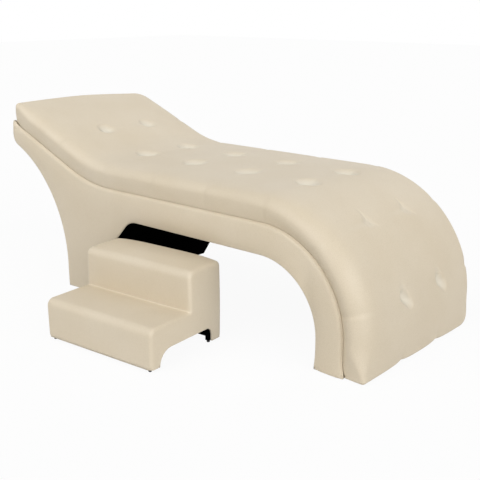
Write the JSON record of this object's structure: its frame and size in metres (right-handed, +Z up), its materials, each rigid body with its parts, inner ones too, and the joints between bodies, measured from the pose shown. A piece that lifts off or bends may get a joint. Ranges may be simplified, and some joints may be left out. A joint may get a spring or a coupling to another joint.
{
  "type": "eyelash extension bed",
  "caption": "Fixed upholstered lash bed with a raised head, a tufted mattress that curves down to the floor over an open arch, and a matching step stool that slides under it.",
  "frame": {"origin": "on the floor, under the middle of the box round bed and stool at rest", "axes": "+X along the bed towards its foot end, +Y from the stool's side to the far side, +Z up"},
  "size_m": [1.815, 1.1206, 0.7507],
  "materials": {
    "cream_synthetic_leather": "warm cream synthetic leather, fine grain, satin",
    "birch_plywood": "bare birch plywood",
    "pine_timber": "bare planed pine",
    "black_faced_hardboard": "thin bent hardboard, matt black face",
    "black_stained_plywood": "plywood, black inside",
    "black_nylon": "black moulded nylon"
  },
  "bodies": {
    "bed": {"mattress": "cream_synthetic_leather", "deck_panel": "birch_plywood", "side_panel_near": "birch_plywood", "side_panel_far": "birch_plywood", "side_pad_near": "cream_synthetic_leather", "side_pad_far": "cream_synthetic_leather", "back_board": "birch_plywood", "back_pad": "cream_synthetic_leather", "arch_lining": "black_faced_hardboard", "head_rail": "pine_timber", "neck_rail": "pine_timber", "shoulder_rail": "pine_timber", "seat_rail_head": "pine_timber", "seat_rail_mid": "pine_timber", "seat_rail_foot": "pine_timber", "knee_rail": "pine_timber", "back_rail_lower": "pine_timber", "back_rail_upper": "pine_timber", "leg_rail": "pine_timber", "leg_sole": "pine_timber", "foot_sole": "pine_timber", "leg_glide_near": "black_nylon", "leg_glide_far": "black_nylon", "foot_glide_near": "black_nylon", "foot_glide_far": "black_nylon"},
    "stool": {"stool_step_pad": "cream_synthetic_leather", "stool_side_pad_left": "cream_synthetic_leather", "stool_side_pad_right": "cream_synthetic_leather", "stool_side_left": "black_stained_plywood", "stool_side_right": "black_stained_plywood", "stool_lower_riser": "black_stained_plywood", "stool_upper_riser": "black_stained_plywood", "stool_lower_tread": "black_stained_plywood", "stool_upper_tread": "black_stained_plywood", "stool_back": "black_stained_plywood", "stool_glide_front_left": "black_nylon", "stool_glide_front_right": "black_nylon", "stool_glide_rear_left": "black_nylon", "stool_glide_rear_right": "black_nylon"}
  },
  "joints": [
    {"name": "stool_slide", "type": "slide", "parent": "bed", "child": "stool", "axis": [0, 1, 0], "range_m": [-0.25, 0.38]}
  ]
}
